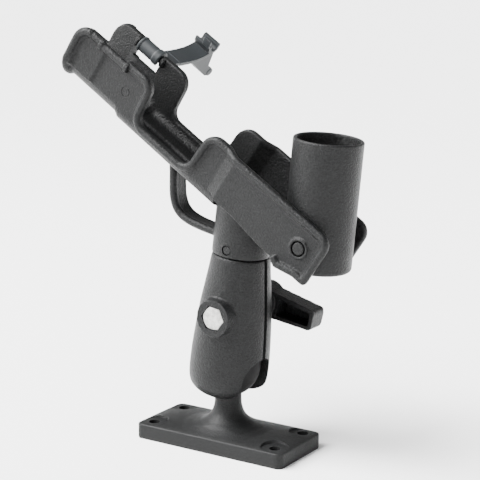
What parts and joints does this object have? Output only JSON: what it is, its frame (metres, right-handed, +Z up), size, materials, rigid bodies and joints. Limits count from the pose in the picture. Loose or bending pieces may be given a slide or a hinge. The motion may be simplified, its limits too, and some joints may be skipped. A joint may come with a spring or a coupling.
{
  "type": "fishing rod holder",
  "caption": "Fishing rod holder: a base plate with a ball, a two-part clamping arm with a wing knob, and a tilted rod cradle with a hinged latch and a pivoting butt tube.",
  "frame": {"origin": "centre of the base plate's underside", "axes": "+Z up, +X along the plate's long side towards the butt tube, +Y along the clamp bolt away from its hexagon head"},
  "size_m": [0.1923, 0.1134, 0.2441],
  "materials": {
    "painted_alloy": "powder coat, fine grain",
    "ball_rubber": "matte",
    "composite": "fine-grained moulded composite",
    "smooth_nylon": "smooth, low sheen",
    "stainless_steel": "bright",
    "spring_steel": "plain",
    "white_acetal": "smooth",
    "brass": "plain"
  },
  "bodies": {
    "base": {"base_plate": "painted_alloy"},
    "ball_skin": {"ball_cover": "ball_rubber"},
    "arm": {"arm_front_half": "composite", "clamp_bolt": "stainless_steel", "clamp_spring": "spring_steel"},
    "rear_clamp": {"arm_rear_half": "composite", "knob_washer": "white_acetal"},
    "knob": {"clamp_knob": "composite", "knob_nut": "brass"},
    "head": {"cradle": "composite", "spline_post": "composite", "post_pin": "composite"},
    "tube": {"butt_tube": "composite", "pivot_pin_near": "smooth_nylon", "pivot_pin_far": "smooth_nylon", "push_nut_near": "spring_steel", "push_nut_far": "spring_steel"},
    "latch_root": {"latch_clip": "smooth_nylon"},
    "latch_end": {"latch_hook": "smooth_nylon"}
  },
  "joints": [
    {"name": "ball_turn", "type": "hinge", "parent": "base", "child": "ball_skin", "pos_m": [0, 0, 0.049], "axis": [0, 0, 1], "continuous": true},
    {"name": "ball_tilt", "type": "hinge", "parent": "ball_skin", "child": "arm", "pos_m": [0, 0, 0.049], "axis": [0, 1, 0], "range_deg": [-14, 60]},
    {"name": "clamp_open", "type": "slide", "parent": "arm", "child": "rear_clamp", "axis": [0, 1, 0], "range_m": [0, 0.00212]},
    {"name": "knob_turn", "type": "hinge", "parent": "rear_clamp", "child": "knob", "pos_m": [0.00376, 0, 0.08249], "axis": [0, 1, 0], "range_deg": [0, 540]},
    {"name": "head_turn", "type": "hinge", "parent": "arm", "child": "head", "pos_m": [0.00766, 0, 0.11727], "axis": [0.1115, 0, 0.9938], "continuous": true},
    {"name": "tube_pivot", "type": "hinge", "parent": "head", "child": "tube", "pos_m": [0.05932, 0, 0.13062], "axis": [0, 1, 0], "range_deg": [-61, 90]},
    {"name": "latch_hinge", "type": "hinge", "parent": "head", "child": "latch_root", "pos_m": [-0.06834, 0.0176, 0.22858], "axis": [0.8348, 0, -0.5505], "range_deg": [0, 134.2]},
    {"name": "strap_bend", "type": "hinge", "parent": "latch_root", "child": "latch_end", "pos_m": [-0.07089, 0.044, 0.22379], "axis": [0.8348, 0, -0.5505], "range_deg": [0, 74]}
  ],
  "couplings": [
    {"joint": "clamp_open", "follows": "knob_turn", "m_per_rad": 0.00022458}
  ]
}
